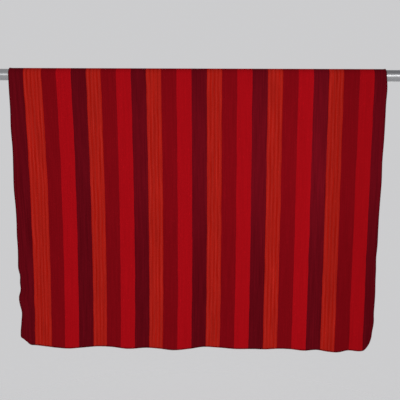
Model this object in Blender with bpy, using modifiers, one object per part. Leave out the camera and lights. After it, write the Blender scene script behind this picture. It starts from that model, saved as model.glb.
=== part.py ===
"""A striped wool shuka blanket that hangs over a plain round metal rod.

The rod lies along X with its axis through the origin. The cloth crosses it once: the long fall
hangs at the front, towards -Y, and the short fall at the back. Units are metres, +Z is up.
"""
import math
from typing import NamedTuple

import bmesh
import bpy
import numpy as np

OBJECT_NAME = "shuka_blanket_on_rod"

# The rod: a polished tube with closed ends
ROD_DIAMETER = 0.045
ROD_LENGTH = 1.80
ROD_SIDES = 64
ROD_END_BEVEL = 0.0015
SHARP_EDGE = math.radians(40)

# The cloth as it was woven, laid out flat
CLOTH_WIDTH = 1.50
CLOTH_LENGTH = 2.00
CLOTH_THICKNESS = 0.003

# How it lies over the rod
SEAT_GAP = 0.0006
BEND_RADIUS = ROD_DIAMETER / 2 + SEAT_GAP + CLOTH_THICKNESS / 2
FRONT_FALL = 1.118
OVER_ROD = math.pi * BEND_RADIUS
BACK_FALL = CLOTH_LENGTH - FRONT_FALL - OVER_ROD

# Folds start this far below the rod's axis and deepen towards the hem
FOLD_START = 0.05
FOLD_GROWTH = 1.5


class Fold(NamedTuple):
    """One crest or hollow of a fall, as it stands at the hem."""
    place: float    # from the left selvedge
    depth: float    # out from the fall's plane, away from the rod
    drop: float     # of the hem below its mean height


FRONT_FOLDS = (
    Fold(place=0.000, depth=-0.0040, drop=-0.0101),
    Fold(place=0.050, depth=-0.0047, drop=-0.0096),
    Fold(place=0.110, depth=-0.0040, drop=-0.0039),
    Fold(place=0.160, depth=0.0020, drop=-0.0006),
    Fold(place=0.204, depth=0.0060, drop=0.0003),
    Fold(place=0.262, depth=-0.0001, drop=-0.0016),
    Fold(place=0.323, depth=-0.0070, drop=-0.0038),
    Fold(place=0.385, depth=0.0006, drop=-0.0053),
    Fold(place=0.451, depth=0.0080, drop=0.0004),
    Fold(place=0.541, depth=-0.0040, drop=0.0001),
    Fold(place=0.594, depth=0.0021, drop=0.0018),
    Fold(place=0.647, depth=0.0090, drop=0.0046),
    Fold(place=0.714, depth=0.0015, drop=0.0025),
    Fold(place=0.780, depth=-0.0080, drop=-0.0032),
    Fold(place=0.840, depth=-0.0064, drop=-0.0008),
    Fold(place=0.915, depth=0.0021, drop=0.0019),
    Fold(place=0.993, depth=0.0060, drop=0.0005),
    Fold(place=1.040, depth=0.0017, drop=0.0032),
    Fold(place=1.090, depth=-0.0030, drop=0.0017),
    Fold(place=1.150, depth=-0.0025, drop=0.0038),
    Fold(place=1.205, depth=0.0011, drop=0.0083),
    Fold(place=1.260, depth=0.0050, drop=0.0034),
    Fold(place=1.300, depth=0.0090, drop=0.0089),
    Fold(place=1.343, depth=0.0100, drop=0.0115),
    Fold(place=1.389, depth=0.0010, drop=0.0067),
    Fold(place=1.436, depth=0.0050, drop=0.0093),
    Fold(place=1.500, depth=0.0000, drop=0.0063),
)

BACK_FOLDS = (
    Fold(place=0.000, depth=0.003, drop=0.004),
    Fold(place=0.160, depth=-0.005, drop=0.000),
    Fold(place=0.350, depth=0.008, drop=0.006),
    Fold(place=0.560, depth=-0.006, drop=0.002),
    Fold(place=0.790, depth=0.009, drop=0.001),
    Fold(place=1.010, depth=-0.006, drop=-0.004),
    Fold(place=1.230, depth=0.007, drop=-0.003),
    Fold(place=1.390, depth=-0.004, drop=-0.009),
    Fold(place=1.500, depth=0.002, drop=-0.010),
)


class Pull(NamedTuple):
    """How far the cloth has drawn sideways, to the right, at one height of a fall."""
    drop: float     # below the rod's axis
    left: float     # at the left selvedge
    middle: float
    right: float    # at the right selvedge


FRONT_PULL = (
    Pull(drop=0.00, left=0.000, middle=0.000, right=0.000),
    Pull(drop=0.30, left=0.0143, middle=0.0023, right=-0.0047),
    Pull(drop=0.70, left=0.0228, middle=0.0038, right=-0.0102),
    Pull(drop=1.02, left=0.0233, middle=0.0021, right=-0.0147),
    Pull(drop=1.13, left=0.0223, middle=0.0003, right=-0.0152),
)

BACK_PULL = (
    Pull(drop=0.00, left=0.000, middle=0.000, right=0.000),
    Pull(drop=0.40, left=0.010, middle=0.001, right=-0.008),
    Pull(drop=0.82, left=0.014, middle=0.000, right=-0.015),
)

# The right selvedge and both corners of the front fall curl back on themselves
CURL_RADIUS = 0.012
CURL_TURN = math.radians(150)
LEFT_CORNER_WIDE = 0.0535
LEFT_CORNER_HIGH = 0.0500
RIGHT_ROLL = 0.021
RIGHT_ROLL_GROWTH = 0.8
RIGHT_CORNER_RADIUS = 0.0600


class Wander(NamedTuple):
    """How far a selvedge stands out at one height of the front fall, where it ripples."""
    drop: float     # below the rod's axis
    out: float      # away from the cloth's middle, and as far towards the front


LEFT_WANDER = (
    Wander(drop=0.000, out=0.0000),
    Wander(drop=0.060, out=0.0013),
    Wander(drop=0.140, out=0.0023),
    Wander(drop=0.220, out=0.0052),
    Wander(drop=0.300, out=0.0043),
    Wander(drop=0.380, out=0.0060),
    Wander(drop=0.460, out=0.0075),
    Wander(drop=0.540, out=0.0049),
    Wander(drop=0.600, out=0.0043),
    Wander(drop=0.650, out=0.0050),
    Wander(drop=0.700, out=0.0038),
    Wander(drop=0.745, out=0.0041),
    Wander(drop=0.790, out=0.0046),
    Wander(drop=0.822, out=-0.0001),
    Wander(drop=0.850, out=0.0009),
    Wander(drop=0.881, out=-0.0006),
    Wander(drop=0.911, out=0.0053),
    Wander(drop=0.943, out=0.0029),
    Wander(drop=0.975, out=-0.0024),
    Wander(drop=1.015, out=-0.0007),
    Wander(drop=1.060, out=0.0025),
    Wander(drop=1.130, out=0.0015),
)

RIGHT_WANDER = (
    Wander(drop=0.000, out=0.0000),
    Wander(drop=0.050, out=0.0034),
    Wander(drop=0.110, out=0.0019),
    Wander(drop=0.180, out=0.0017),
    Wander(drop=0.260, out=0.0011),
    Wander(drop=0.340, out=-0.0007),
    Wander(drop=0.420, out=0.0006),
    Wander(drop=0.500, out=-0.0006),
    Wander(drop=0.560, out=-0.0014),
    Wander(drop=0.620, out=-0.0013),
    Wander(drop=0.680, out=-0.0009),
    Wander(drop=0.730, out=-0.0024),
    Wander(drop=0.780, out=-0.0006),
    Wander(drop=0.830, out=0.0003),
    Wander(drop=0.880, out=0.0021),
    Wander(drop=0.930, out=0.0020),
    Wander(drop=0.965, out=0.0017),
    Wander(drop=1.000, out=0.0032),
    Wander(drop=1.050, out=-0.0008),
    Wander(drop=1.130, out=-0.0008),
)
WANDER_REACH = 0.075

# Finishes
WOOL_RED = (0.15, 0.004, 0.008)
WOOL_ROUGHNESS = 0.95
STEEL_GREY = (0.55, 0.55, 0.56)
STEEL_ROUGHNESS = 0.25

# The cloth's grid: cells start small where it bends and widen away from there
EDGE_CELL = 0.010
SELVEDGE_CELLS = 6
SELVEDGE_WIDENING = 1.25
MIDDLE_COLUMNS = 32
HEM_CELLS = 11
HEM_WIDENING = 1.16
FALL_TOP_CELLS = 2
FALL_TOP_CELL = 0.035
FRONT_MIDDLE_ROWS = 12
OVER_ROD_ROWS = 12
BACK_MIDDLE_ROWS = 10


def clear_scene():
    for old in list(bpy.data.objects):
        bpy.data.objects.remove(old, do_unlink=True)


def make_collection():
    collection = bpy.data.collections.new(OBJECT_NAME)
    bpy.context.scene.collection.children.link(collection)
    return collection


def make_material(name, colour, roughness, metallic):
    material = bpy.data.materials.new(name)
    material.use_nodes = True
    shader = material.node_tree.nodes["Principled BSDF"]
    shader.inputs["Base Color"].default_value = (*colour, 1.0)
    shader.inputs["Roughness"].default_value = roughness
    shader.inputs["Metallic"].default_value = metallic
    return material


def through(rows, column, at):
    """Reads a smooth curve through one column of a table, whose first column is the place."""
    places = np.array([row[0] for row in rows])
    values = np.array([getattr(row, column) for row in rows])
    slopes = np.gradient(values, places)
    at = np.clip(at, places[0], places[-1])
    low = np.clip(np.searchsorted(places, at) - 1, 0, len(places) - 2)
    width = places[low + 1] - places[low]
    t = (at - places[low]) / width
    start = values[low] * (1 + 2 * t) * (1 - t) ** 2 + slopes[low] * width * t * (1 - t) ** 2
    end = values[low + 1] * t * t * (3 - 2 * t) + slopes[low + 1] * width * t * t * (t - 1)
    return start + end


def eased(value):
    """Rises smoothly from 0 to 1 as the value does."""
    value = np.clip(value, 0.0, 1.0)
    return value * value * (3 - 2 * value)


def sideways(pulls, across, drop):
    """The sideways shift at a height, on a curve through its left, middle and right values."""
    left = through(pulls, "left", drop)
    middle = through(pulls, "middle", drop)
    right = through(pulls, "right", drop)
    t = across / CLOTH_WIDTH
    return left * (1 - t) * (1 - 2 * t) + middle * 4 * t * (1 - t) + right * t * (2 * t - 1)


def fall_shape(folds, pulls, across, drop, fall):
    """Where a fall's cloth hangs before its edges curl: x, depth out from its plane, and z."""
    deepening = np.clip((drop - FOLD_START) / (fall - FOLD_START), 0.0, None) ** FOLD_GROWTH
    depth = through(folds, "depth", across) * deepening
    x = across - CLOTH_WIDTH / 2 + sideways(pulls, across, drop)
    z = -drop - through(folds, "drop", across) * drop / fall
    return x, depth, z


def past_left_corner(across, height):
    """Length past the slanting bend at the left corner, and the way it points."""
    slant = math.hypot(LEFT_CORNER_WIDE, LEFT_CORNER_HIGH)
    share = 1 - across / LEFT_CORNER_WIDE - height / LEFT_CORNER_HIGH
    past = share * LEFT_CORNER_WIDE * LEFT_CORNER_HIGH / slant
    return past, -LEFT_CORNER_HIGH / slant, -LEFT_CORNER_WIDE / slant


def past_right_side(across, height):
    """Length past the bend that runs down the right selvedge and rounds the corner."""
    roll = RIGHT_ROLL * (1 - height / FRONT_FALL) ** RIGHT_ROLL_GROWTH
    beside = np.maximum(across - (CLOTH_WIDTH - RIGHT_CORNER_RADIUS - roll), 0.0)
    below = np.maximum(RIGHT_CORNER_RADIUS - height, 0.0)
    reach = np.maximum(np.hypot(beside, below), EDGE_CELL / 2)
    return reach - RIGHT_CORNER_RADIUS, beside / reach, -below / reach


def curled(x, depth, z, past, way_x, way_z):
    """Winds what lies past a bend round towards the back."""
    past = np.maximum(past, 0.0)
    turn = np.minimum(past / CURL_RADIUS, CURL_TURN)
    straight = past - turn * CURL_RADIUS
    ahead = CURL_RADIUS * np.sin(turn) + straight * np.cos(turn)
    back = CURL_RADIUS * (1 - np.cos(turn)) + straight * np.sin(turn)
    return x + way_x * (ahead - past), depth - back, z + way_z * (ahead - past)


def front_point(across, drop):
    x, depth, z = fall_shape(FRONT_FOLDS, FRONT_PULL, across, drop, FRONT_FALL)
    left = through(LEFT_WANDER, "out", drop) * eased(1 - across / WANDER_REACH)
    right = through(RIGHT_WANDER, "out", drop) * eased(1 - (CLOTH_WIDTH - across) / WANDER_REACH)
    height = FRONT_FALL - drop
    x, depth, z = curled(x - left + right, depth + left + right, z, *past_left_corner(across, height))
    x, depth, z = curled(x, depth, z, *past_right_side(across, height))
    return x, -BEND_RADIUS - depth, z


def back_point(across, drop):
    x, depth, z = fall_shape(BACK_FOLDS, BACK_PULL, across, drop, BACK_FALL)
    return x, BEND_RADIUS + depth, z


def cloth_point(across, along):
    """A point of the cloth's middle layer; along runs from the front hem to the back one."""
    across = np.asarray(across, dtype=float)
    if along < FRONT_FALL:
        return front_point(across, FRONT_FALL - along)
    if along > FRONT_FALL + OVER_ROD:
        return back_point(across, along - FRONT_FALL - OVER_ROD)
    angle = (along - FRONT_FALL) / BEND_RADIUS
    x = across - CLOTH_WIDTH / 2
    return x, -BEND_RADIUS * np.cos(angle) + 0 * across, BEND_RADIUS * np.sin(angle) + 0 * across


def column_places():
    edge = [EDGE_CELL * SELVEDGE_WIDENING ** cell for cell in range(SELVEDGE_CELLS)]
    middle = (CLOTH_WIDTH - 2 * sum(edge)) / MIDDLE_COLUMNS
    return np.cumsum([0.0] + edge + [middle] * MIDDLE_COLUMNS + edge[::-1])


def row_places():
    hem = [EDGE_CELL * HEM_WIDENING ** cell for cell in range(HEM_CELLS)]
    top = [FALL_TOP_CELL] * FALL_TOP_CELLS
    front = (FRONT_FALL - sum(hem) - sum(top)) / FRONT_MIDDLE_ROWS
    over = OVER_ROD / OVER_ROD_ROWS
    back = (BACK_FALL - sum(top)) / BACK_MIDDLE_ROWS
    cells = hem + [front] * FRONT_MIDDLE_ROWS + top + [over] * OVER_ROD_ROWS
    return np.cumsum([0.0] + cells + top + [back] * BACK_MIDDLE_ROWS)


def make_cloth(collection):
    columns = column_places()
    rows = row_places()
    mesh = bpy.data.meshes.new("shuka")
    grid = bmesh.new()
    bmesh.ops.create_grid(grid, x_segments=len(columns) - 1, y_segments=len(rows) - 1, size=0.5)
    places = [cloth_point(columns, along) for along in rows]
    for vert in grid.verts:
        column = round((vert.co.x + 0.5) * (len(columns) - 1))
        row = round((vert.co.y + 0.5) * (len(rows) - 1))
        vert.co = [values[column] for values in places[row]]
    grid.to_mesh(mesh)
    grid.free()
    mesh.shade_smooth()
    mesh.materials.append(make_material("shuka_wool", WOOL_RED, WOOL_ROUGHNESS, 0.0))
    cloth = bpy.data.objects.new("shuka", mesh)
    collection.objects.link(cloth)
    shell = cloth.modifiers.new("thickness", "SOLIDIFY")
    shell.thickness = CLOTH_THICKNESS
    shell.offset = 0.0
    shell.use_even_offset = True
    return cloth


def make_rod(collection):
    bpy.ops.mesh.primitive_cylinder_add(
        vertices=ROD_SIDES, radius=ROD_DIAMETER / 2, depth=ROD_LENGTH,
        rotation=(0.0, math.pi / 2, 0.0))
    rod = bpy.context.object
    rod.name = "rod"
    rod.data.name = "rod"
    for owner in list(rod.users_collection):
        owner.objects.unlink(rod)
    collection.objects.link(rod)
    ends = rod.modifiers.new("end_bevel", "BEVEL")
    ends.width = ROD_END_BEVEL
    ends.segments = 2
    ends.limit_method = "ANGLE"
    ends.angle_limit = SHARP_EDGE
    rod.data.shade_smooth()
    rod.data.set_sharp_from_angle(angle=SHARP_EDGE)
    rod.data.materials.append(make_material("rod_steel", STEEL_GREY, STEEL_ROUGHNESS, 1.0))
    return rod


def build():
    clear_scene()
    collection = make_collection()
    make_rod(collection)
    make_cloth(collection)


build()
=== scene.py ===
# A striped wool shuka blanket that hangs over a round steel rod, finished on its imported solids.
# Metres, +Z up. The rod lies along X through the origin, and the long fall is at the front, towards -Y.
import math
from typing import NamedTuple

import bmesh
import bpy
import numpy as np
from mathutils import Matrix, Vector


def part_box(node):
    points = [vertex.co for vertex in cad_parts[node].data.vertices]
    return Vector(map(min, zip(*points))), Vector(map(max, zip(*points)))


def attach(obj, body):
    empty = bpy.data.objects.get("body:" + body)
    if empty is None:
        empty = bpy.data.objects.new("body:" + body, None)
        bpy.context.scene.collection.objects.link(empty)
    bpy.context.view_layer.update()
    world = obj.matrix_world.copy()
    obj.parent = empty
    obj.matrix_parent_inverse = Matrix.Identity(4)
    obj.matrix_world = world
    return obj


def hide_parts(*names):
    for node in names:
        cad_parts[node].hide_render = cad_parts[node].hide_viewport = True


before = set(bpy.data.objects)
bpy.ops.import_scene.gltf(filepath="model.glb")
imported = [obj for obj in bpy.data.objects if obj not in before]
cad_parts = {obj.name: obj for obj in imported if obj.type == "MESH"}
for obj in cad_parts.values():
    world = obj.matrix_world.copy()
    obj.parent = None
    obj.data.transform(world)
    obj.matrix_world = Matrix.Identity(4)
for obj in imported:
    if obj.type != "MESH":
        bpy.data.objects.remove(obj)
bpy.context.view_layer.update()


# Rod
# The plain polished steel tube that carries the blanket, with its ends closed flush and their edges
# broken. Something outside the photograph holds it near both ends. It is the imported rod, made round.

ROD_SIDES = 96
ROD_END_BEVEL = 0.0015
ROD_END_STEPS = 4
ROD_END_LAND = 0.0012
SMOOTH_BELOW = math.radians(40)

STEEL_GREY = (0.430, 0.433, 0.440, 1.0)
STEEL_METALLIC = 1.0
STEEL_LINES_AROUND = 1400.0
STEEL_LINES_ALONG = 5.6
STEEL_SMUDGES_AROUND = 28.0
STEEL_SMUDGES_ALONG = 7.0
STEEL_SMUDGE_SHARE = 0.6
STEEL_ROUGH_LOW = 0.28
STEEL_ROUGH_HIGH = 0.38
STEEL_LINE_DEPTH = 0.000012
NOISE_LOW = 0.35
NOISE_HIGH = 0.65


def node(tree, kind, inputs=None, output=0, **settings):
    """Adds one node, sets or joins its inputs, and returns one of its output sockets."""
    made = tree.nodes.new(kind)
    for name, value in settings.items():
        setattr(made, name, value)
    for key, value in (inputs or {}).items():
        if isinstance(value, bpy.types.NodeSocket):
            tree.links.new(value, made.inputs[key])
        else:
            made.inputs[key].default_value = value
    return made.outputs[output]


def maths(tree, operation, first, second=0.0, third=0.0):
    return node(tree, "ShaderNodeMath", {0: first, 1: second, 2: third}, operation=operation)


def stretched(tree, vector, along_x, along_y, along_z):
    """Scales a texture's coordinates; the numbers are how often it changes in a metre."""
    scale = (along_x, along_y, along_z)
    return node(tree, "ShaderNodeMapping", {"Vector": vector, "Scale": scale})


def noise(tree, vector, detail=2.0, roughness=0.5):
    return node(tree, "ShaderNodeTexNoise",
                {"Vector": vector, "Scale": 1.0, "Detail": detail, "Roughness": roughness})


def between(tree, value, low, high, to_low, to_high):
    """Maps a range of values onto another and holds it there at both ends."""
    return node(tree, "ShaderNodeMapRange",
                {"Value": value, "From Min": low, "From Max": high, "To Min": to_low, "To Max": to_high})


def new_material(name):
    material = bpy.data.materials.new(name)
    material.use_nodes = True
    return material, material.node_tree, material.node_tree.nodes["Principled BSDF"]


def link_to(tree, shader, **sockets):
    for name, socket in sockets.items():
        tree.links.new(socket, shader.inputs[name.replace("_", " ")])


def make_steel():
    """Polished drawn steel: fine lines along the tube and faint smudges in its gloss."""
    material, tree, shader = new_material("polished_steel")
    place = node(tree, "ShaderNodeTexCoord", output="Object")
    lines = noise(tree, stretched(tree, place, STEEL_LINES_ALONG, STEEL_LINES_AROUND, STEEL_LINES_AROUND))
    smudges = noise(tree, stretched(tree, place, STEEL_SMUDGES_ALONG, STEEL_SMUDGES_AROUND,
                                    STEEL_SMUDGES_AROUND))
    smudged = maths(tree, "MULTIPLY", smudges, STEEL_SMUDGE_SHARE)
    mixed = maths(tree, "MULTIPLY_ADD", lines, 1 - STEEL_SMUDGE_SHARE, smudged)
    roughness = between(tree, mixed, NOISE_LOW, NOISE_HIGH, STEEL_ROUGH_LOW, STEEL_ROUGH_HIGH)
    bump = node(tree, "ShaderNodeBump", {"Height": lines, "Distance": STEEL_LINE_DEPTH})
    link_to(tree, shader, Roughness=roughness, Normal=bump)
    shader.inputs["Base Color"].default_value = STEEL_GREY
    shader.inputs["Metallic"].default_value = STEEL_METALLIC
    return material


def link_object(name, mesh):
    piece = bpy.data.objects.new(name, mesh)
    bpy.context.scene.collection.objects.link(piece)
    return piece


def make_rod():
    """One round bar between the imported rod's ends, with both end edges bevelled."""
    low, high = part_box("rod")
    shape = bmesh.new()
    radius = (high.z - low.z) / 2
    turned = Matrix.Rotation(math.pi / 2, 4, "Y")
    bmesh.ops.create_cone(shape, cap_ends=True, segments=ROD_SIDES, radius1=radius, radius2=radius,
                          depth=high.x - low.x, matrix=turned)
    rims = [edge for edge in shape.edges if abs(edge.verts[0].co.x - edge.verts[1].co.x) < radius]
    bmesh.ops.bevel(shape, geom=rims, offset=ROD_END_BEVEL, segments=ROD_END_STEPS, profile=0.5,
                    affect="EDGES")
    ends = [face for face in shape.faces if len(face.verts) == ROD_SIDES]
    bmesh.ops.inset_region(shape, faces=ends, thickness=ROD_END_LAND)
    mesh = bpy.data.meshes.new("rod_tube")
    shape.to_mesh(mesh)
    shape.free()
    mesh.shade_smooth()
    mesh.set_sharp_from_angle(angle=SMOOTH_BELOW)
    mesh.materials.append(make_steel())
    return link_object("rod_tube", mesh)


rod = make_rod()
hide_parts("rod")
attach(rod, "root")


# Shuka
# One length of thick brushed wool cloth, 1.5 m wide and 2 m long, woven with lengthwise stripes in four
# reds. It crosses the rod once. Its selvedges are its sides, and its two cut ends are the hems.

CLOTH_WIDTH = 1.50
CLOTH_LENGTH = 2.00
HALF_THICKNESS = 0.0015
BEND_RADIUS = 0.0246
FRONT_FALL = 1.118
OVER_ROD = math.pi * BEND_RADIUS
BACK_FALL = CLOTH_LENGTH - FRONT_FALL - OVER_ROD
FOLD_START = 0.05
FOLD_GROWTH = 1.5


class Fold(NamedTuple):
    """One crest or hollow of a fall, as it stands at the hem."""
    place: float    # from the left selvedge
    depth: float    # out from the fall's plane, away from the rod
    drop: float     # of the hem below its mean height


FRONT_FOLDS = (
    Fold(place=0.000, depth=-0.0040, drop=-0.0101),
    Fold(place=0.050, depth=-0.0047, drop=-0.0096),
    Fold(place=0.110, depth=-0.0040, drop=-0.0039),
    Fold(place=0.160, depth=0.0020, drop=-0.0006),
    Fold(place=0.204, depth=0.0060, drop=0.0003),
    Fold(place=0.262, depth=-0.0001, drop=-0.0016),
    Fold(place=0.323, depth=-0.0070, drop=-0.0038),
    Fold(place=0.385, depth=0.0006, drop=-0.0053),
    Fold(place=0.451, depth=0.0080, drop=0.0004),
    Fold(place=0.541, depth=-0.0040, drop=0.0001),
    Fold(place=0.594, depth=0.0021, drop=0.0018),
    Fold(place=0.647, depth=0.0090, drop=0.0046),
    Fold(place=0.714, depth=0.0015, drop=0.0025),
    Fold(place=0.780, depth=-0.0080, drop=-0.0032),
    Fold(place=0.840, depth=-0.0064, drop=-0.0008),
    Fold(place=0.915, depth=0.0021, drop=0.0019),
    Fold(place=0.993, depth=0.0060, drop=0.0005),
    Fold(place=1.040, depth=0.0017, drop=0.0032),
    Fold(place=1.090, depth=-0.0030, drop=0.0017),
    Fold(place=1.150, depth=-0.0025, drop=0.0038),
    Fold(place=1.205, depth=0.0011, drop=0.0083),
    Fold(place=1.260, depth=0.0050, drop=0.0034),
    Fold(place=1.300, depth=0.0090, drop=0.0089),
    Fold(place=1.343, depth=0.0100, drop=0.0115),
    Fold(place=1.389, depth=0.0010, drop=0.0067),
    Fold(place=1.436, depth=0.0050, drop=0.0093),
    Fold(place=1.500, depth=0.0000, drop=0.0063),
)

BACK_FOLDS = (
    Fold(place=0.000, depth=0.003, drop=0.004),
    Fold(place=0.160, depth=-0.005, drop=0.000),
    Fold(place=0.350, depth=0.008, drop=0.006),
    Fold(place=0.560, depth=-0.006, drop=0.002),
    Fold(place=0.790, depth=0.009, drop=0.001),
    Fold(place=1.010, depth=-0.006, drop=-0.004),
    Fold(place=1.230, depth=0.007, drop=-0.003),
    Fold(place=1.390, depth=-0.004, drop=-0.009),
    Fold(place=1.500, depth=0.002, drop=-0.010),
)


class Pull(NamedTuple):
    """How far the cloth has drawn sideways, to the right, at one height of a fall."""
    drop: float     # below the rod's axis
    left: float     # at the left selvedge
    middle: float
    right: float    # at the right selvedge


FRONT_PULL = (
    Pull(drop=0.00, left=0.000, middle=0.000, right=0.000),
    Pull(drop=0.30, left=0.0143, middle=0.0023, right=-0.0047),
    Pull(drop=0.70, left=0.0228, middle=0.0038, right=-0.0102),
    Pull(drop=1.02, left=0.0233, middle=0.0021, right=-0.0147),
    Pull(drop=1.13, left=0.0223, middle=0.0003, right=-0.0152),
)

BACK_PULL = (
    Pull(drop=0.00, left=0.000, middle=0.000, right=0.000),
    Pull(drop=0.40, left=0.010, middle=0.001, right=-0.008),
    Pull(drop=0.82, left=0.014, middle=0.000, right=-0.015),
)

# The right selvedge and both corners of the front fall curl back on themselves
CURL_RADIUS = 0.012
CURL_TURN = math.radians(150)
LEFT_CORNER_WIDE = 0.0535
LEFT_CORNER_HIGH = 0.0500
RIGHT_ROLL = 0.021
RIGHT_ROLL_GROWTH = 0.8
RIGHT_CORNER_RADIUS = 0.0600
RIGHT_CORNER_HEART = 0.005


class Wander(NamedTuple):
    """How far a selvedge stands out at one height of the front fall, where it ripples."""
    drop: float     # below the rod's axis
    out: float      # away from the cloth's middle, and as far towards the front


LEFT_WANDER = (
    Wander(drop=0.000, out=0.0000),
    Wander(drop=0.060, out=0.0013),
    Wander(drop=0.140, out=0.0023),
    Wander(drop=0.220, out=0.0052),
    Wander(drop=0.300, out=0.0043),
    Wander(drop=0.380, out=0.0060),
    Wander(drop=0.460, out=0.0075),
    Wander(drop=0.540, out=0.0049),
    Wander(drop=0.600, out=0.0043),
    Wander(drop=0.650, out=0.0050),
    Wander(drop=0.700, out=0.0038),
    Wander(drop=0.745, out=0.0041),
    Wander(drop=0.790, out=0.0046),
    Wander(drop=0.822, out=-0.0001),
    Wander(drop=0.850, out=0.0009),
    Wander(drop=0.881, out=-0.0006),
    Wander(drop=0.911, out=0.0053),
    Wander(drop=0.943, out=0.0029),
    Wander(drop=0.975, out=-0.0024),
    Wander(drop=1.015, out=-0.0007),
    Wander(drop=1.060, out=0.0025),
    Wander(drop=1.130, out=0.0015),
)

RIGHT_WANDER = (
    Wander(drop=0.000, out=0.0000),
    Wander(drop=0.050, out=0.0034),
    Wander(drop=0.110, out=0.0019),
    Wander(drop=0.180, out=0.0017),
    Wander(drop=0.260, out=0.0011),
    Wander(drop=0.340, out=-0.0007),
    Wander(drop=0.420, out=0.0006),
    Wander(drop=0.500, out=-0.0006),
    Wander(drop=0.560, out=-0.0014),
    Wander(drop=0.620, out=-0.0013),
    Wander(drop=0.680, out=-0.0009),
    Wander(drop=0.730, out=-0.0024),
    Wander(drop=0.780, out=-0.0006),
    Wander(drop=0.830, out=0.0003),
    Wander(drop=0.880, out=0.0021),
    Wander(drop=0.930, out=0.0020),
    Wander(drop=0.965, out=0.0017),
    Wander(drop=1.000, out=0.0032),
    Wander(drop=1.050, out=-0.0008),
    Wander(drop=1.130, out=-0.0008),
)
WANDER_REACH = 0.075


class Ripple(NamedTuple):
    """A slight wave in the hanging cloth, finer than its folds."""
    across: float   # waves in a metre of width
    along: float    # waves in a metre of length
    start: float    # turns
    height: float


RIPPLES = (
    Ripple(across=1.9, along=0.55, start=0.10, height=0.0006),
    Ripple(across=4.3, along=-0.40, start=0.62, height=0.0005),
    Ripple(across=7.1, along=0.90, start=0.35, height=0.0004),
    Ripple(across=2.7, along=3.10, start=0.81, height=0.0003),
    Ripple(across=11.3, along=-0.70, start=0.47, height=0.00025),
)
RIPPLE_START = 0.04
RIPPLE_RISE = 0.25


class Repeat(NamedTuple):
    """One repeat of the warp, from left to right: its four stripes' widths, and how strong the dye is. The
    last repeat's weaker dye is partly painted shade, darker towards the right selvedge.
    """
    maroon: float
    orange: float
    deep_red: float
    bright_red: float
    dark_dye: float    # of the maroon yarn
    dye: float         # of the other three


WARP = (
    Repeat(maroon=0.0585, orange=0.0725, deep_red=0.0580, bright_red=0.0590, dark_dye=1.07, dye=1.00),
    Repeat(maroon=0.0600, orange=0.0585, deep_red=0.0600, bright_red=0.0595, dark_dye=1.02, dye=1.00),
    Repeat(maroon=0.0600, orange=0.0595, deep_red=0.0610, bright_red=0.0595, dark_dye=1.03, dye=1.00),
    Repeat(maroon=0.0610, orange=0.0600, deep_red=0.0605, bright_red=0.0605, dark_dye=0.98, dye=1.00),
    Repeat(maroon=0.0615, orange=0.0600, deep_red=0.0615, bright_red=0.0605, dark_dye=1.01, dye=1.00),
    Repeat(maroon=0.0605, orange=0.0590, deep_red=0.0625, bright_red=0.0575, dark_dye=1.08, dye=0.90),
)
# The last maroon stripe, at the right selvedge, is darkened by painted shade where the cloth curls back
LAST_MAROON_PAINTED_SHADE = 0.90
STRIPES_IN_REPEAT = 4
STRIPE_WIDTHS = [width for repeat in WARP for width in repeat[:STRIPES_IN_REPEAT]]
STRIPE_EDGES = np.append(np.cumsum([0.0] + STRIPE_WIDTHS), CLOTH_WIDTH)
STRIPE_MIDDLES = (STRIPE_EDGES[:-1] + STRIPE_EDGES[1:]) / 2
STRIPE_DYES_AND_SHADE = [dye for repeat in WARP for dye in (repeat.dark_dye, repeat.dye, repeat.dye, repeat.dye)]

# The grid: its columns lie on the stripes' edges, and its cells are small where the cloth bends
STRIPE_CELL = 0.0105
CURL_CELL = 0.0045
CURL_STRIPES = 2
RIM_CELLS = (0.0003, 0.0009, 0.0018, 0.0035, 0.0058)
HEM_BAND = 0.105
FALL_CELL = 0.0115
OVER_ROD_CELLS = 26
BEAD_HEIGHT = 0.0013
BEAD_WIDTH = 0.009
DIFFERENCE = 0.0001


def through(rows, column, at):
    """Reads a smooth curve through one column of a table, whose first column is the place."""
    places = np.array([row[0] for row in rows])
    values = np.array([getattr(row, column) for row in rows])
    slopes = np.gradient(values, places)
    at = np.clip(at, places[0], places[-1])
    low = np.clip(np.searchsorted(places, at) - 1, 0, len(places) - 2)
    width = places[low + 1] - places[low]
    t = (at - places[low]) / width
    start = values[low] * (1 + 2 * t) * (1 - t) ** 2 + slopes[low] * width * t * (1 - t) ** 2
    end = values[low + 1] * t * t * (3 - 2 * t) + slopes[low + 1] * width * t * t * (t - 1)
    return start + end


def eased(value):
    """Rises smoothly from 0 to 1 as the value does."""
    value = np.clip(value, 0.0, 1.0)
    return value * value * (3 - 2 * value)


def sideways(pulls, across, drop):
    """The sideways shift at a height, on a curve through its left, middle and right values."""
    left = through(pulls, "left", drop)
    middle = through(pulls, "middle", drop)
    right = through(pulls, "right", drop)
    t = across / CLOTH_WIDTH
    return left * (1 - t) * (1 - 2 * t) + middle * 4 * t * (1 - t) + right * t * (2 * t - 1)


def rippled(across, drop):
    """The slight waves' height, none near the rod."""
    turns = [ripple.across * across + ripple.along * drop + ripple.start for ripple in RIPPLES]
    waves = sum(ripple.height * np.cos(2 * np.pi * turn) for ripple, turn in zip(RIPPLES, turns))
    return waves * eased((drop - RIPPLE_START) / RIPPLE_RISE)


def fall_shape(folds, pulls, across, drop, fall):
    """Where a fall's cloth hangs before its edges curl: x, depth out from its plane, and z."""
    deepening = np.clip((drop - FOLD_START) / (fall - FOLD_START), 0.0, None) ** FOLD_GROWTH
    depth = through(folds, "depth", across) * deepening + rippled(across, drop)
    x = across - CLOTH_WIDTH / 2 + sideways(pulls, across, drop)
    z = -drop - through(folds, "drop", across) * drop / fall
    return x, depth, z


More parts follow.
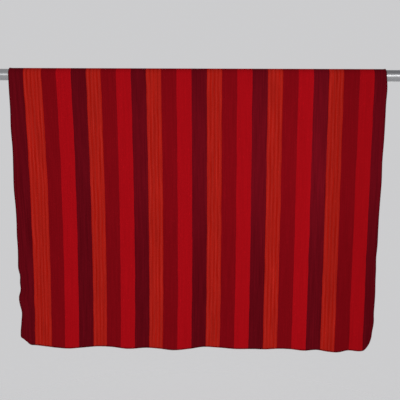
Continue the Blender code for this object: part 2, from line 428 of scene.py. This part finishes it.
def past_left_corner(across, height):
    """Length past the slanting bend at the left corner, and the way it points."""
    slant = math.hypot(LEFT_CORNER_WIDE, LEFT_CORNER_HIGH)
    share = 1 - across / LEFT_CORNER_WIDE - height / LEFT_CORNER_HIGH
    past = share * LEFT_CORNER_WIDE * LEFT_CORNER_HIGH / slant
    return past, -LEFT_CORNER_HIGH / slant, -LEFT_CORNER_WIDE / slant


def past_right_side(across, height):
    """Length past the bend that runs down the right selvedge and rounds the corner."""
    roll = RIGHT_ROLL * np.clip(1 - height / FRONT_FALL, 0.0, None) ** RIGHT_ROLL_GROWTH
    beside = np.maximum(across - (CLOTH_WIDTH - RIGHT_CORNER_RADIUS - roll), 0.0)
    below = np.maximum(RIGHT_CORNER_RADIUS - height, 0.0)
    reach = np.maximum(np.hypot(beside, below), RIGHT_CORNER_HEART)
    return reach - RIGHT_CORNER_RADIUS, beside / reach, -below / reach


def curled(x, depth, z, past, way_x, way_z):
    """Winds what lies past a bend round towards the back."""
    past = np.maximum(past, 0.0)
    turn = np.minimum(past / CURL_RADIUS, CURL_TURN)
    straight = past - turn * CURL_RADIUS
    ahead = CURL_RADIUS * np.sin(turn) + straight * np.cos(turn)
    back = CURL_RADIUS * (1 - np.cos(turn)) + straight * np.sin(turn)
    return x + way_x * (ahead - past), depth - back, z + way_z * (ahead - past)


def front_point(across, drop):
    x, depth, z = fall_shape(FRONT_FOLDS, FRONT_PULL, across, drop, FRONT_FALL)
    left = through(LEFT_WANDER, "out", drop) * eased(1 - across / WANDER_REACH)
    right = through(RIGHT_WANDER, "out", drop) * eased(1 - (CLOTH_WIDTH - across) / WANDER_REACH)
    height = FRONT_FALL - drop
    x, depth, z = curled(x - left + right, depth + left + right, z, *past_left_corner(across, height))
    x, depth, z = curled(x, depth, z, *past_right_side(across, height))
    return np.stack([x, -BEND_RADIUS - depth, z], axis=-1)


def back_point(across, drop):
    x, depth, z = fall_shape(BACK_FOLDS, BACK_PULL, across, drop, BACK_FALL)
    return np.stack([x, BEND_RADIUS + depth, z], axis=-1)


def cloth_point(across, along):
    """Points of the cloth's middle layer; along runs from the front hem to the back one."""
    past_front = along - FRONT_FALL
    past_rod = past_front - OVER_ROD
    angle = past_front / BEND_RADIUS
    over = [across - CLOTH_WIDTH / 2, -BEND_RADIUS * np.cos(angle), BEND_RADIUS * np.sin(angle)]
    points = np.stack(over, axis=-1)
    points = np.where(past_front[..., None] < 0, front_point(across, np.maximum(-past_front, 0)), points)
    return np.where(past_rod[..., None] > 0, back_point(across, np.maximum(past_rod, 0)), points)


def off_cloth(across, along, offset):
    """Points that far off the middle layer; above 0 is the side that shows from the front."""
    inner = np.clip(across, DIFFERENCE, CLOTH_WIDTH - DIFFERENCE)
    middle = np.clip(along, DIFFERENCE, CLOTH_LENGTH - DIFFERENCE)
    wide = cloth_point(inner + DIFFERENCE, middle) - cloth_point(inner - DIFFERENCE, middle)
    long = cloth_point(inner, middle + DIFFERENCE) - cloth_point(inner, middle - DIFFERENCE)
    out = np.cross(wide, long)
    out /= np.linalg.norm(out, axis=-1, keepdims=True)
    beyond = (across - inner)[..., None] * wide + (along - middle)[..., None] * long
    return cloth_point(inner, middle) + beyond / (2 * DIFFERENCE) + out * offset[..., None]


def divided(start, end, cell):
    """Even places from start up to, but not with, end."""
    return list(np.linspace(start, end, max(1, round((end - start) / cell)), endpoint=False))


def column_places():
    rim = RIM_CELLS[-1]
    last = len(STRIPE_EDGES) - 2
    places = [0.0] + list(RIM_CELLS[:-1])
    for stripe, (start, end) in enumerate(zip(STRIPE_EDGES, STRIPE_EDGES[1:])):
        bends = stripe == 0 or stripe > last - CURL_STRIPES
        start = max(start, rim)
        end = min(end, CLOTH_WIDTH - rim)
        places += divided(start, end, CURL_CELL if bends else STRIPE_CELL)
    return np.array(places + [CLOTH_WIDTH - place for place in RIM_CELLS[::-1]] + [CLOTH_WIDTH])


def row_places():
    rim = RIM_CELLS[-1]
    rod_start = FRONT_FALL
    rod_end = FRONT_FALL + OVER_ROD
    places = [0.0] + list(RIM_CELLS[:-1])
    places += divided(rim, HEM_BAND, CURL_CELL)
    places += divided(HEM_BAND, rod_start, FALL_CELL)
    places += divided(rod_start, rod_end, OVER_ROD / OVER_ROD_CELLS)
    places += divided(rod_end, CLOTH_LENGTH - rim, FALL_CELL)
    return np.array(places + [CLOTH_LENGTH - place for place in RIM_CELLS[::-1]] + [CLOTH_LENGTH])


def rounded_edge(inward):
    """The half thickness at a distance in from a cut or woven edge."""
    short = np.clip(HALF_THICKNESS - inward, 0.0, None)
    return np.sqrt(HALF_THICKNESS ** 2 - short ** 2)


def selvedge_bead(inward):
    """The doubled outer warp threads, which stand proud on the outer side."""
    return BEAD_HEIGHT * eased(inward / HALF_THICKNESS) * eased(1 - inward / BEAD_WIDTH)


def halved_at(corners, quads):
    """Halves each quad that has a corner of the cloth from that corner, so that the layers stay apart."""
    faces = []
    for quad in quads:
        start = next((place for place, vertex in enumerate(quad) if vertex in corners), None)
        if start is None:
            faces.append(quad)
        else:
            first, second, third, fourth = quad[start:] + quad[:start]
            faces += [(first, second, third), (first, third, fourth)]
    return faces


def make_cloth():
    """A closed shell of an outer and an inner layer, which share their vertices along the edges."""
    columns = column_places()
    rows = row_places()
    across, along = np.meshgrid(columns, rows)
    from_side = np.minimum(across, CLOTH_WIDTH - across)
    half = rounded_edge(np.minimum(from_side, np.minimum(along, CLOTH_LENGTH - along)))
    outer = off_cloth(across, along, half + selvedge_bead(from_side) * half / HALF_THICKNESS)
    inner = off_cloth(across, along, -half)

    index = np.arange(across.size).reshape(across.shape)
    inside = (slice(1, -1), slice(1, -1))
    under = index.copy()
    under[inside] = across.size + np.arange(index[inside].size).reshape(index[inside].shape)
    points = np.concatenate([outer.reshape(-1, 3), inner[inside].reshape(-1, 3)])
    front = np.stack([index[:-1, :-1], index[:-1, 1:], index[1:, 1:], index[1:, :-1]], axis=-1)
    back = np.stack([under[:-1, :-1], under[1:, :-1], under[1:, 1:], under[:-1, 1:]], axis=-1)
    quads = np.concatenate([front.reshape(-1, 4), back.reshape(-1, 4)]).tolist()
    corners = [index[0, 0], index[0, -1], index[-1, 0], index[-1, -1]]

    mesh = bpy.data.meshes.new("shuka_cloth")
    mesh.from_pydata(points.tolist(), [], halved_at(set(corners), quads))
    mesh.shade_smooth()
    flat = np.stack([across, along], axis=-1)
    add_uv(mesh, "weave", np.concatenate([flat.reshape(-1, 2), flat[inside].reshape(-1, 2)]))
    count = np.interp(across, STRIPE_EDGES, np.arange(len(STRIPE_EDGES)))
    # Dye strength across the cloth, with painted shade in it towards the right selvedge
    dye_and_shade = np.interp(across, STRIPE_MIDDLES, STRIPE_DYES_AND_SHADE + [LAST_MAROON_PAINTED_SHADE])
    dyed = np.stack([count, dye_and_shade], axis=-1)
    add_uv(mesh, "stripes", np.concatenate([dyed.reshape(-1, 2), dyed[inside].reshape(-1, 2)]))
    return link_object("shuka_cloth", mesh)


def add_uv(mesh, name, at_vertices):
    """Gives each corner of the mesh its vertex's place on the flat cloth."""
    corners = np.empty(len(mesh.loops), dtype=np.int32)
    mesh.loops.foreach_get("vertex_index", corners)
    mesh.uv_layers.new(name=name).data.foreach_set("uv", at_vertices[corners].astype(np.float32).ravel())


# The wool: each stripe is one dyed yarn in the warp, closed over a hidden weft and brushed a little
MAROON = (0.098, 0.0024, 0.0056, 1.0)
ORANGE = (0.350, 0.0116, 0.0072, 1.0)
DEEP_RED = (0.177, 0.0025, 0.0053, 1.0)
BRIGHT_RED = (0.337, 0.0034, 0.0066, 1.0)
YARN_COLOURS = (MAROON, ORANGE, DEEP_RED, BRIGHT_RED)
ORANGE_PLACE = 1

WOOL_ROUGHNESS = 0.95
SHEEN_WEIGHT = 0.06
SHEEN_ROUGHNESS = 0.5
SHEEN_TINT = (0.75, 0.03, 0.04, 1.0)


class Mottle(NamedTuple):
    """A noise over the flat cloth, whose pattern is stretched along the warp."""
    across: float   # changes in a metre of width
    along: float    # changes in a metre of length
    detail: float   # layers of finer noise


PATCHES = Mottle(across=9.0, along=6.0, detail=3.0)
PATCH_SPREAD = 0.015
NAP = Mottle(across=1800.0, along=600.0, detail=3.0)
NAP_ROUGHNESS = 0.6
NAP_SPREAD = 0.15
NAP_DEPTH = 0.0003
NAP_STRENGTH = 0.6
SLUBS = Mottle(across=300.0, along=70.0, detail=0.0)
SLUBS_FROM = 0.75
SLUBS_TO = 0.86
SLUB_SHADE = 1.35
# Painted shade along the cloth's edges: how dark it gets, and how far in it reaches
PAINTED_EDGE_SHADE = 0.55
PAINTED_EDGE_REACH = 0.0060

WARP_PITCH = 0.0016
WEFT_PITCH = 0.0026
WEAVE_DEPTH = 0.0005
WEAVE_STRENGTH = 0.7
WEFT_SHARE = 0.28
# Painted shade in the weave's hollows and a painted highlight on its crests, in the colour
PAINTED_HOLLOW_SHADE = 0.70
PAINTED_CREST_LIGHT = 1.06
CREST_FROM = 0.8
UNEVEN_YARN = Mottle(across=260.0, along=90.0, detail=2.0)
YARN_UNEVEN = 0.22

# Each warp yarn's shade is read that far from its neighbour's in a noise, and drifts as it runs. The
# spreads are in the order of the stripes
YARN_STEP = 0.37
YARN_DRIFT = 5.0
YARN_GROUPS = Mottle(across=210.0, along=5.5, detail=2.0)
YARN_SPREADS = (0.150, 0.125, 0.070, 0.055)

# The stripes' edges, in metres either way
FRAYS = Mottle(across=1500.0, along=500.0, detail=1.0)
FRAY = 0.0004
STRAYS = Mottle(across=14.0, along=11.0, detail=2.0)
STRAY = 0.0012
MEAN_STRIPE = CLOTH_WIDTH / len(STRIPE_EDGES)

# The orange warp is laid in bands, each lighter and pinker along its middle than between them. The
# first orange stripe is wider and has one more
BAND_COUNT = 4
WIDE_STRIPE_END = 2.0
BAND_SPREAD = (0.055, 0.34, 0.46)
BAND_GAP_TO = 0.10
BAND_MIDDLE_FROM = 0.40
BAND_WOBBLES = Mottle(across=30.0, along=8.0, detail=3.0)
BAND_WOBBLE = 0.15
BAND_FADES = Mottle(across=60.0, along=7.0, detail=3.0)
FADES_FROM = 0.60
FADES_TO = 0.38
BAND_CLEAREST = 1.15
BAND_FAINTEST = 0.25

# A painted sheen, a lighter patch painted into the front fall's colour: where it is lightest, on flat
# cloth, how far it reaches, and how much it lifts each dye
PAINTED_SHEEN_PLACE = (1.15, 0.79, 0.0)
PAINTED_SHEEN_REACH = (1.30, 0.60, 1.0)
PAINTED_SHEEN_DYES = (1.42, 1.00, 1.16, 1.00)


def uv(tree, name):
    return node(tree, "ShaderNodeUVMap", uv_map=name)


def axis_of(tree, vector, axis):
    return node(tree, "ShaderNodeSeparateXYZ", {0: vector}, output=axis)


def product(tree, *factors):
    total = factors[0]
    for factor in factors[1:]:
        total = maths(tree, "MULTIPLY", total, factor)
    return total


def mottled(tree, flat, mottle, roughness=0.5):
    return noise(tree, stretched(tree, flat, mottle.across, mottle.along, 1.0), mottle.detail, roughness)


def either_way(tree, value, reach):
    """Turns a noise value, which keeps to a quarter about its middle, into an amount about 0."""
    wide = maths(tree, "MULTIPLY", maths(tree, "SUBTRACT", value, 0.5), 4.0)
    return maths(tree, "MULTIPLY", wide, reach)


def varied(tree, value, spread):
    """Turns a noise value into a factor about 1."""
    return maths(tree, "ADD", either_way(tree, value, spread), 1.0)


def stripe_count(tree, flat):
    """The running number of the stripe, whose edges are a little fuzzy and stray a little sideways."""
    fray = either_way(tree, mottled(tree, flat, FRAYS), FRAY / MEAN_STRIPE)
    stray = either_way(tree, mottled(tree, flat, STRAYS), STRAY / MEAN_STRIPE)
    return maths(tree, "ADD", axis_of(tree, uv(tree, "stripes"), "X"), maths(tree, "ADD", fray, stray))


def by_dye(tree, name, kind, values):
    """Picks one of four values, in the order of the stripes, as a stepped ramp."""
    ramp = tree.nodes.new("ShaderNodeValToRGB")
    ramp.name = name
    ramp.color_ramp.interpolation = "CONSTANT"
    stops = ramp.color_ramp.elements
    while len(stops) < STRIPES_IN_REPEAT:
        stops.new(1.0)
    for place, (stop, value) in enumerate(zip(stops, values)):
        stop.position = place / STRIPES_IN_REPEAT
        stop.color = value
    share = maths(tree, "DIVIDE", maths(tree, "ADD", kind, 0.5), STRIPES_IN_REPEAT)
    tree.links.new(share, ramp.inputs["Fac"])
    return ramp.outputs["Color"]


def number_by_dye(tree, name, kind, numbers):
    """Picks one of four numbers in the same way."""
    greys = [(number, number, number, 1.0) for number in numbers]
    return axis_of(tree, by_dye(tree, name, kind, greys), "X")


def orange_bands(tree, flat, count, is_orange):
    """A factor for red, green and blue that draws an orange stripe's bands."""
    bands = maths(tree, "ADD", maths(tree, "LESS_THAN", count, WIDE_STRIPE_END), BAND_COUNT)
    wobble = either_way(tree, mottled(tree, flat, BAND_WOBBLES), BAND_WOBBLE)
    place = maths(tree, "MULTIPLY_ADD", maths(tree, "FRACT", count), bands, wobble)
    from_gap = maths(tree, "PINGPONG", place, 0.5)
    lightness = between(tree, from_gap, BAND_GAP_TO, BAND_MIDDLE_FROM, -1.0, 1.0)
    fade = mottled(tree, flat, BAND_FADES)
    clear = between(tree, fade, FADES_TO, FADES_FROM, BAND_FAINTEST, BAND_CLEAREST)
    amount = product(tree, lightness, clear, is_orange)
    spread = node(tree, "ShaderNodeVectorMath", {0: BAND_SPREAD, "Scale": amount}, operation="SCALE")
    return node(tree, "ShaderNodeVectorMath", {0: spread, 1: (1.0, 1.0, 1.0)}, operation="ADD")


def warp_shades(tree, flat, kind):
    """Each warp yarn's own shade, which drifts along its length; it shows most in the maroon and orange."""
    yarn = maths(tree, "FLOOR", maths(tree, "DIVIDE", axis_of(tree, flat, "X"), WARP_PITCH))
    drift = maths(tree, "MULTIPLY", axis_of(tree, flat, "Y"), YARN_DRIFT)
    place = node(tree, "ShaderNodeCombineXYZ", {"X": maths(tree, "MULTIPLY", yarn, YARN_STEP), "Y": drift})
    single = noise(tree, place, detail=1.0)
    group = mottled(tree, flat, YARN_GROUPS)
    spread = number_by_dye(tree, "yarn_spreads", kind, YARN_SPREADS)
    return product(tree, varied(tree, single, spread), varied(tree, group, spread))


def weave_height(tree, flat):
    """Plain weave, from 0 in its hollows to 1 on its yarns; every other warp yarn is half a step up."""
    uneven = either_way(tree, mottled(tree, flat, UNEVEN_YARN), YARN_UNEVEN)
    warp = maths(tree, "ADD", maths(tree, "DIVIDE", axis_of(tree, flat, "X"), WARP_PITCH), uneven)
    weft = maths(tree, "ADD", maths(tree, "DIVIDE", axis_of(tree, flat, "Y"), WEFT_PITCH), uneven)
    odd = maths(tree, "MULTIPLY", maths(tree, "MODULO", maths(tree, "FLOOR", warp), 2.0), 0.5)
    rib = maths(tree, "SINE", maths(tree, "MULTIPLY", maths(tree, "FRACT", warp), math.pi))
    step = maths(tree, "MULTIPLY", maths(tree, "ADD", weft, odd), 2 * math.pi)
    wave = maths(tree, "MULTIPLY_ADD", maths(tree, "SINE", step), WEFT_SHARE, 1 - WEFT_SHARE)
    return maths(tree, "MULTIPLY", rib, wave)


def painted_edge_shade(tree, flat):
    """Painted shade along the selvedges and the hems, where the cloth's edges round off."""
    from_side = maths(tree, "PINGPONG", axis_of(tree, flat, "X"), CLOTH_WIDTH / 2)
    from_hem = maths(tree, "PINGPONG", axis_of(tree, flat, "Y"), CLOTH_LENGTH / 2)
    nearest = maths(tree, "MINIMUM", from_side, from_hem)
    return between(tree, nearest, HALF_THICKNESS, PAINTED_EDGE_REACH, PAINTED_EDGE_SHADE, 1.0)


def painted_sheen(tree, flat, kind):
    """A painted sheen: a lighter patch over the front fall, which shows most in the dark stripes."""
    off = node(tree, "ShaderNodeVectorMath", {0: flat, 1: PAINTED_SHEEN_PLACE}, operation="SUBTRACT")
    off = node(tree, "ShaderNodeVectorMath", {0: off, 1: PAINTED_SHEEN_REACH}, operation="DIVIDE")
    away = node(tree, "ShaderNodeVectorMath", {0: off}, output="Value", operation="LENGTH")
    amount = node(tree, "ShaderNodeMapRange", {"Value": away, "From Min": 1.0, "From Max": 0.0},
                  interpolation_type="SMOOTHSTEP")
    gain = number_by_dye(tree, "painted_sheen_dyes", kind, [gain - 1 for gain in PAINTED_SHEEN_DYES])
    return maths(tree, "MULTIPLY_ADD", amount, gain, 1.0)


def make_wool():
    """Striped wool: dyed yarns, warp streaks, a few slubs, painted shade in the weave's hollows and along
    the edges, a painted sheen on the front fall, and the bump of the weave and its nap.
    """
    material, tree, shader = new_material("shuka_wool")
    flat = uv(tree, "weave")
    count = stripe_count(tree, flat)
    kind = maths(tree, "MODULO", maths(tree, "FLOOR", count), STRIPES_IN_REPEAT)
    is_orange = maths(tree, "COMPARE", kind, ORANGE_PLACE, 0.5)
    dye = by_dye(tree, "dyes", kind, YARN_COLOURS)

    patches = varied(tree, mottled(tree, flat, PATCHES), PATCH_SPREAD)
    fibres = mottled(tree, flat, NAP, NAP_ROUGHNESS)
    heather = varied(tree, fibres, NAP_SPREAD)
    slubs = between(tree, mottled(tree, flat, SLUBS), SLUBS_FROM, SLUBS_TO, 1.0, SLUB_SHADE)
    weave = weave_height(tree, flat)
    # Painted shade in the weave's hollows, lighter on its crests
    hollows = between(tree, weave, 0.0, CREST_FROM, PAINTED_HOLLOW_SHADE, PAINTED_CREST_LIGHT)
    # Dye strength, partly painted shade towards the right selvedge
    dye_and_painted_shade = axis_of(tree, uv(tree, "stripes"), "Y")
    tone = product(tree, patches, heather, slubs, hollows, warp_shades(tree, flat, kind),
                   painted_edge_shade(tree, flat), painted_sheen(tree, flat, kind), dye_and_painted_shade)
    banded = node(tree, "ShaderNodeVectorMath", {0: dye, 1: orange_bands(tree, flat, count, is_orange)},
                  operation="MULTIPLY")
    colour = node(tree, "ShaderNodeVectorMath", {0: banded, "Scale": tone}, operation="SCALE")

    woven = node(tree, "ShaderNodeBump",
                 {"Height": weave, "Distance": WEAVE_DEPTH, "Strength": WEAVE_STRENGTH})
    bump = node(tree, "ShaderNodeBump",
                {"Height": fibres, "Distance": NAP_DEPTH, "Strength": NAP_STRENGTH, "Normal": woven})
    link_to(tree, shader, Base_Color=colour, Normal=bump)
    shader.inputs["Roughness"].default_value = WOOL_ROUGHNESS
    shader.inputs["Specular IOR Level"].default_value = 0.0
    shader.inputs["Sheen Weight"].default_value = SHEEN_WEIGHT
    shader.inputs["Sheen Roughness"].default_value = SHEEN_ROUGHNESS
    shader.inputs["Sheen Tint"].default_value = SHEEN_TINT
    return material


cloth = make_cloth()
cloth.data.materials.append(make_wool())
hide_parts("shuka")
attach(cloth, "root")


# Hem stitches
# A dark red yarn whipped over each cut end of the cloth so that it doesn't fray: a loop round the edge
# every few millimetres, caught by a line of short stitches above it. It is laid flat, then on the hem.

STITCH_PITCH = 0.005
STITCH_BITE = 0.0052
STITCH_YARN = 0.00042
STITCH_SIDES = 5
STITCH_LIFT = 0.00025
STITCH_SLANT = 0.0016
STITCH_UNEVEN = 0.12
STITCH_SEED = 7
TURN_STEPS = 4
NEEDLE_REACH = 0.46
NEEDLE_FLAT = 0.7

THREAD_DARK = (0.030, 0.0012, 0.0022, 1.0)
THREAD_LIGHT = (0.075, 0.0030, 0.0050, 1.0)
THREAD_DARK_TO = 0.3
THREAD_LIGHT_FROM = 0.7
THREAD_TWIST = 900.0
THREAD_DEPTH = 0.0002
THREAD_STRENGTH = 0.6
THREAD_ROUGHNESS = 0.9


def stitch_path():
    """One loop over the edge of flat cloth, as x along the hem, y up from it and z off the middle."""
    lift = HALF_THICKNESS + STITCH_LIFT
    turn = [math.pi / 2 - math.pi * step / TURN_STEPS for step in range(TURN_STEPS + 1)]
    edge = [(0.0, HALF_THICKNESS - lift * math.cos(angle), lift * math.sin(angle)) for angle in turn]
    front = [(-STITCH_SLANT, STITCH_BITE, HALF_THICKNESS - STITCH_YARN)]
    front += [(-STITCH_SLANT, STITCH_BITE, lift)]
    back = [(STITCH_SLANT, STITCH_BITE, -lift)]
    back += [(STITCH_SLANT, STITCH_BITE, STITCH_YARN - HALF_THICKNESS)]
    return front + edge + back


def needle_path():
    """The short stitch that catches the loop on the front, sunk at both ends."""
    reach = STITCH_PITCH * NEEDLE_REACH
    flat = reach * NEEDLE_FLAT
    top = HALF_THICKNESS + STITCH_LIFT
    low = HALF_THICKNESS - STITCH_YARN
    ways = [(-reach, low), (-flat, top), (flat, top), (reach, low)]
    return [(x - STITCH_SLANT + STITCH_PITCH / 2, STITCH_BITE, z) for x, z in ways]


def make_thread():
    """Twisted dark red wool yarn."""
    material, tree, shader = new_material("hem_thread")
    place = node(tree, "ShaderNodeTexCoord", output="Object")
    twist = noise(tree, stretched(tree, place, THREAD_TWIST, THREAD_TWIST, THREAD_TWIST), detail=1.0)
    shade = node(tree, "ShaderNodeValToRGB", {"Fac": twist})
    dark, light = shade.node.color_ramp.elements
    dark.position = THREAD_DARK_TO
    dark.color = THREAD_DARK
    light.position = THREAD_LIGHT_FROM
    light.color = THREAD_LIGHT
    bump = node(tree, "ShaderNodeBump",
                {"Height": twist, "Distance": THREAD_DEPTH, "Strength": THREAD_STRENGTH})
    link_to(tree, shader, Base_Color=shade, Normal=bump)
    shader.inputs["Roughness"].default_value = THREAD_ROUGHNESS
    shader.inputs["Specular IOR Level"].default_value = 0.0
    return material


def stitching_tree():
    """Sweeps a yarn along the object's paths and repeats it in a row, each stitch a little uneven."""
    tree = bpy.data.node_groups.new("hem_stitching", "GeometryNodeTree")
    sockets = (("Stitches", "NodeSocketInt"), ("Pitch", "NodeSocketFloat"), ("Yarn", "NodeSocketFloat"),
               ("Sides", "NodeSocketInt"), ("Uneven", "NodeSocketFloat"), ("Seed", "NodeSocketInt"),
               ("Thread", "NodeSocketMaterial"))
    tree.interface.new_socket("Geometry", in_out="OUTPUT", socket_type="NodeSocketGeometry")
    tree.interface.new_socket("Geometry", in_out="INPUT", socket_type="NodeSocketGeometry")
    named = {name: tree.interface.new_socket(name, in_out="INPUT", socket_type=kind).identifier
             for name, kind in sockets}
    given = tree.nodes.new("NodeGroupInput").outputs

    curve = node(tree, "GeometryNodeMeshToCurve", {"Mesh": given["Geometry"]})
    profile = node(tree, "GeometryNodeCurvePrimitiveCircle",
                   {"Resolution": given["Sides"], "Radius": given["Yarn"]})
    yarn = node(tree, "GeometryNodeCurveToMesh",
                {"Curve": curve, "Profile Curve": profile, "Fill Caps": True})
    step = node(tree, "ShaderNodeCombineXYZ", {"X": given["Pitch"]})
    first = node(tree, "ShaderNodeVectorMath", {0: step, "Scale": 0.5}, operation="SCALE")
    row = node(tree, "GeometryNodeMeshLine",
               {"Count": given["Stitches"], "Start Location": first, "Offset": step})
    least = maths(tree, "SUBTRACT", 1.0, given["Uneven"])
    most = maths(tree, "ADD", 1.0, given["Uneven"])
    size = node(tree, "FunctionNodeRandomValue",
                {2: least, 3: most, "Seed": given["Seed"]}, output=1, data_type="FLOAT")
    scale = node(tree, "ShaderNodeCombineXYZ", {"X": size, "Y": size, "Z": 1.0})
    stitches = node(tree, "GeometryNodeInstanceOnPoints",
                    {"Points": row, "Instance": yarn, "Scale": scale})
    real = node(tree, "GeometryNodeRealizeInstances", {"Geometry": stitches})
    finished = node(tree, "GeometryNodeSetMaterial", {"Geometry": real, "Material": given["Thread"]})
    tree.links.new(finished, tree.nodes.new("NodeGroupOutput").inputs["Geometry"])
    return tree, named


def path_mesh(name, *paths):
    """Loose edges along each path, which the stitching tree sweeps."""
    mesh = bpy.data.meshes.new(name)
    edges = []
    for path in paths:
        start = edges[-1][1] + 1 if edges else 0
        edges += [(start + step, start + step + 1) for step in range(len(path) - 1)]
    mesh.from_pydata([point for path in paths for point in path], edges, [])
    return mesh


def flat_stitches():
    """The whole row of stitches along one hem, before the cloth is draped."""
    row = link_object("flat_stitches", path_mesh("flat_stitches", stitch_path(), needle_path()))
    tree, named = stitching_tree()
    stitching = row.modifiers.new("stitching", "NODES")
    stitching.node_group = tree
    values = {"Stitches": round(CLOTH_WIDTH / STITCH_PITCH), "Pitch": STITCH_PITCH, "Yarn": STITCH_YARN,
              "Sides": STITCH_SIDES, "Uneven": STITCH_UNEVEN, "Seed": STITCH_SEED, "Thread": make_thread()}
    for name, value in values.items():
        stitching[named[name]] = value
    evaluated = row.evaluated_get(bpy.context.evaluated_depsgraph_get())
    mesh = bpy.data.meshes.new_from_object(evaluated)
    bpy.data.objects.remove(row, do_unlink=True)
    return mesh


def lay_on_hem(name, flat, at_back):
    """Bends a flat row of stitches round the hem where it hangs."""
    mesh = flat.copy()
    mesh.name = name
    places = np.empty(len(mesh.vertices) * 3)
    mesh.vertices.foreach_get("co", places)
    across, height, offset = places.reshape(-1, 3).T
    across = np.clip(across, 0.0, CLOTH_WIDTH)
    bead = selvedge_bead(np.minimum(across, CLOTH_WIDTH - across))
    offset = offset + bead * np.clip(offset / HALF_THICKNESS, 0.0, 1.0)
    along = CLOTH_LENGTH - height if at_back else height
    mesh.vertices.foreach_set("co", off_cloth(across, along, offset).ravel())
    if at_back:
        mesh.flip_normals()
    mesh.shade_smooth()
    return link_object(name, mesh)


row_of_stitches = flat_stitches()
hems = [lay_on_hem("front_hem_stitches", row_of_stitches, at_back=False),
        lay_on_hem("back_hem_stitches", row_of_stitches, at_back=True)]
for hem in hems:
    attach(hem, "root")


# Studio
# A plain pale floor well below the blanket, a wide softbox and a smaller, nearer one in front of it, a
# weaker one behind it, and a pale surround that darkens overhead, most at the right. The camera stands
# where the photograph was taken.

FLOOR_DROP = 2.0
FLOOR_RADIUS = 2.4
FLOOR_FADE = 0.5
FLOOR_SIDES = 96
FLOOR_PALE = (0.90, 0.90, 0.905, 1.0)
FLOOR_ROUGHNESS = 0.9
FLOOR_GLOSS = 0.1

SURROUND_LEVEL = (0.605, 0.605, 0.615, 1.0)
SURROUND_ABOVE = (0.31, 0.31, 0.32, 1.0)
DARKENS_FROM = 0.25
DARKENS_TO = 0.70
DARKENS_AT_LEFT = 0.35
SIDE_REACH = 0.35


class Softbox(NamedTuple):
    """A rectangular lamp; it faces the point it is aimed at."""
    name: str
    place: tuple
    aim: tuple
    width: float
    height: float
    power: float


SOFTBOXES = (
    Softbox(name="wide_softbox", place=(0.50, -4.2, -0.24), aim=(0.25, 0.0, -0.36),
            width=7.0, height=1.35, power=99.0),
    Softbox(name="near_softbox", place=(0.15, -2.5, -0.31), aim=(0.15, 0.0, -0.45),
            width=1.2, height=0.9, power=14.6),
    Softbox(name="back_softbox", place=(0.0, 4.2, 0.20), aim=(0.0, 0.0, -0.30),
            width=5.0, height=1.35, power=45.0),
)

CAMERA_LENS = 50.0
CAMERA_SENSOR = 36.0
CAMERA_PLACE = (0.0116, -2.2611, -0.282)
CAMERA_DOWN = math.radians(5.55)
CAMERA_ROLL = math.radians(0.19)


def make_floor():
    """A disc whose matte pale finish fades into the surround towards its rim."""
    shape = bmesh.new()
    bmesh.ops.create_circle(shape, cap_ends=True, segments=FLOOR_SIDES, radius=FLOOR_RADIUS,
                            matrix=Matrix.Translation((0.0, 0.0, -FLOOR_DROP)))
    mesh = bpy.data.meshes.new("floor")
    shape.to_mesh(mesh)
    shape.free()
    material, tree, shader = new_material("pale_floor")
    place = node(tree, "ShaderNodeTexCoord", output="Object")
    flat = node(tree, "ShaderNodeVectorMath", {0: place, 1: (1.0, 1.0, 0.0)}, operation="MULTIPLY")
    distance = node(tree, "ShaderNodeVectorMath", {0: flat}, output="Value", operation="LENGTH")
    gone = between(tree, distance, FLOOR_FADE, FLOOR_RADIUS, 0.0, 1.0)
    clear = node(tree, "ShaderNodeBsdfTransparent")
    faded = node(tree, "ShaderNodeMixShader", {"Fac": gone, 1: shader.outputs["BSDF"], 2: clear})
    tree.links.new(faded, tree.nodes["Material Output"].inputs["Surface"])
    shader.inputs["Base Color"].default_value = FLOOR_PALE
    shader.inputs["Roughness"].default_value = FLOOR_ROUGHNESS
    shader.inputs["Specular IOR Level"].default_value = FLOOR_GLOSS
    mesh.materials.append(material)
    return link_object("floor", mesh)


def make_surround():
    """Pale light from all round, less of it from overhead and least from overhead at the right."""
    world = bpy.data.worlds.new("surround")
    world.use_nodes = True
    tree = world.node_tree
    direction = node(tree, "ShaderNodeTexCoord", output="Generated")
    upwards = axis_of(tree, direction, "Z")
    rightwards = axis_of(tree, direction, "X")
    above = between(tree, upwards, DARKENS_FROM, DARKENS_TO, 0.0, 1.0)
    side = between(tree, rightwards, -SIDE_REACH, SIDE_REACH, DARKENS_AT_LEFT, 1.0)
    darkened = maths(tree, "MULTIPLY", above, side)
    colour = node(tree, "ShaderNodeMix", {0: darkened, 6: SURROUND_LEVEL, 7: SURROUND_ABOVE}, output=2,
                  data_type="RGBA")
    tree.links.new(colour, tree.nodes["Background"].inputs["Color"])
    bpy.context.scene.world = world


def make_softbox(box):
    lamp = bpy.data.lights.new(box.name, "AREA")
    lamp.shape = "RECTANGLE"
    lamp.size = box.width
    lamp.size_y = box.height
    lamp.energy = box.power
    softbox = link_object(box.name, lamp)
    softbox.location = box.place
    way = Vector(box.aim) - Vector(box.place)
    softbox.rotation_euler = way.to_track_quat("-Z", "Y").to_euler()
    softbox.visible_camera = False


def make_camera():
    lens = bpy.data.cameras.new("camera")
    lens.lens = CAMERA_LENS
    lens.sensor_width = CAMERA_SENSOR
    camera = link_object("camera", lens)
    camera.location = CAMERA_PLACE
    level = Matrix.Rotation(math.pi / 2 - CAMERA_DOWN, 3, "X")
    camera.rotation_euler = (level @ Matrix.Rotation(CAMERA_ROLL, 3, "Z")).to_euler()
    bpy.context.scene.camera = camera


make_floor()
make_surround()
for box in SOFTBOXES:
    make_softbox(box)
make_camera()
bpy.context.scene.view_settings.view_transform = "Standard"
